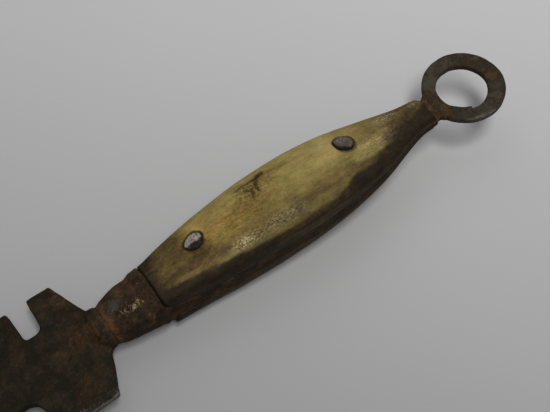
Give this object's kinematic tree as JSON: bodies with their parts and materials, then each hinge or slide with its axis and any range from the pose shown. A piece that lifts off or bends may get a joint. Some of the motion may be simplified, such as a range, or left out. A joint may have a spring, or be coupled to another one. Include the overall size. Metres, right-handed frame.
{
  "type": "notched setting iron",
  "caption": "Hand-forged notched iron plate on a bolster, with riveted horn handle scales and a flat hanging ring at the tail.",
  "frame": {"origin": "under the middle of the tool's length, on the centre line, level with the belly of the lower horn scale", "axes": "+X from the notched plate to the hanging ring, +Z square to the flat of the plate"},
  "size_m": [0.212, 0.043, 0.024],
  "materials": {
    "forged_iron": "dark brown forged patina with rust",
    "rusty_iron": "brown rust with dark worn places",
    "ring_iron": "dark brown iron with a worn sheen",
    "horn": "streaked olive and tan horn, dark along one flank, worn satin",
    "rivet_iron": "peened iron, worn bright on top"
  },
  "bodies": {
    "root": {"head_plate": "forged_iron", "bolster_and_tang": "rusty_iron", "hanging_ring": "ring_iron", "upper_horn_scale": "horn", "lower_horn_scale": "horn", "front_rivet": "rivet_iron", "rear_rivet": "rivet_iron"}
  },
  "joints": []
}
